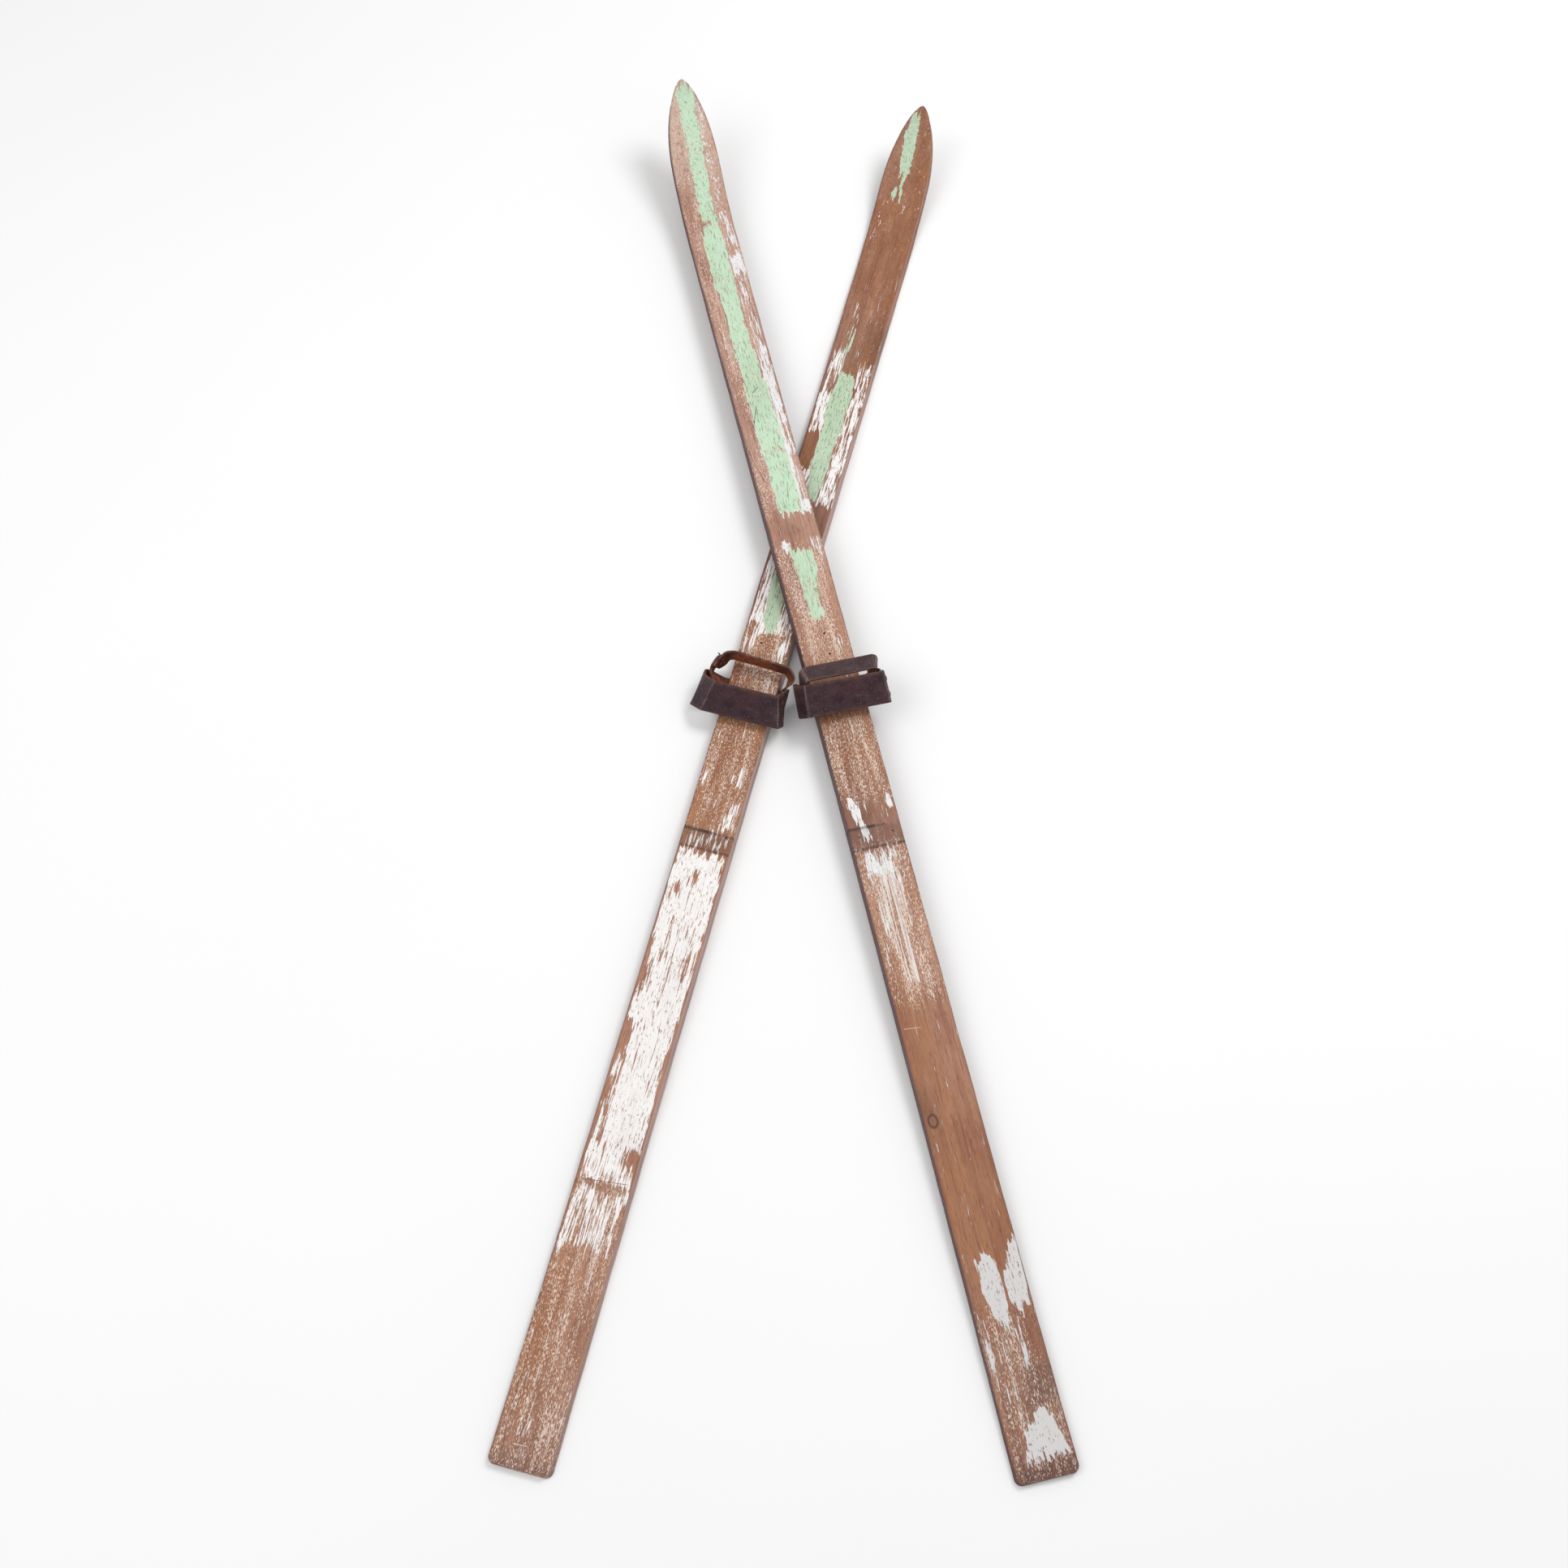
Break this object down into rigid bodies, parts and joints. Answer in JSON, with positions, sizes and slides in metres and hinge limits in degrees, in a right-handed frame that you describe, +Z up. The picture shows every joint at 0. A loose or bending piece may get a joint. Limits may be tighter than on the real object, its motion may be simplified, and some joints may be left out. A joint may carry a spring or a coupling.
{
  "type": "wooden ski pair",
  "caption": "Pair of old flat wooden skis with upturned tips, laid crossed one on the other, each with a wide and a narrow leather foot strap through a slot in the board.",
  "frame": {"origin": "under the centre of the whole pair, on the surface that the left ski's running base lies on", "axes": "+Y runs from the tails to the tips between the two skis, +X to the right seen from the tails, +Z up"},
  "size_m": [0.6948, 2.0467, 0.1411],
  "materials": {
    "left_wood": "weathered bare ash with remains of mint green and white paint",
    "right_wood": "weathered bare ash with remains of mint green and white paint",
    "toe_leather": "old dry harness leather, satin, with worn pale edges",
    "front_leather": "old dry harness leather, satin, with a red-brown flesh side",
    "iron": "dark rusted iron",
    "copper": "dull tarnished copper"
  },
  "bodies": {
    "left_ski": {"left_ski": "left_wood", "left_toe_strap_web": "toe_leather", "left_front_strap_web": "front_leather", "left_strap_nail": "iron", "left_foot_tacks": "iron"},
    "left_toe_strap": {"left_toe_strap_loop": "toe_leather", "left_toe_strap_rivets": "copper", "left_toe_strap_burrs": "copper"},
    "left_front_strap": {"left_front_strap_loop": "front_leather", "left_front_strap_rivet": "copper", "left_front_strap_burr": "copper"},
    "right_ski": {"right_ski": "right_wood", "right_toe_strap_web": "toe_leather", "right_front_strap_web": "front_leather", "right_strap_nail": "iron", "right_foot_tacks": "iron"},
    "right_toe_strap": {"right_toe_strap_loop": "toe_leather", "right_toe_strap_rivets": "copper", "right_toe_strap_burrs": "copper"},
    "right_front_strap": {"right_front_strap_loop": "front_leather", "right_front_strap_rivet": "copper", "right_front_strap_burr": "copper"}
  },
  "joints": [
    {"name": "right_ski_lift", "type": "slide", "parent": "left_ski", "child": "right_ski", "axis": [0, 0, 1], "range_m": [0, 0.12]},
    {"name": "left_toe_strap_flex", "type": "hinge", "parent": "left_ski", "child": "left_toe_strap", "pos_m": [-0.05932, 0.00375, 0.0105], "axis": [0.9709, -0.2394, 0], "range_deg": [-3, 8], "stiffness_Nm_per_rad": 1},
    {"name": "left_front_strap_flex", "type": "hinge", "parent": "left_ski", "child": "left_front_strap", "pos_m": [-0.05932, 0.00375, 0.0105], "axis": [0.9709, -0.2394, 0], "range_deg": [-2, 25], "stiffness_Nm_per_rad": 0.5},
    {"name": "right_toe_strap_flex", "type": "hinge", "parent": "right_ski", "child": "right_toe_strap", "pos_m": [0.05941, 0.00338, 0.03013], "axis": [0.9709, 0.2394, 0], "range_deg": [-1, 8], "stiffness_Nm_per_rad": 1},
    {"name": "right_front_strap_flex", "type": "hinge", "parent": "right_ski", "child": "right_front_strap", "pos_m": [0.05941, 0.00338, 0.03013], "axis": [0.9709, 0.2394, 0], "range_deg": [-25, 1], "stiffness_Nm_per_rad": 0.5}
  ]
}
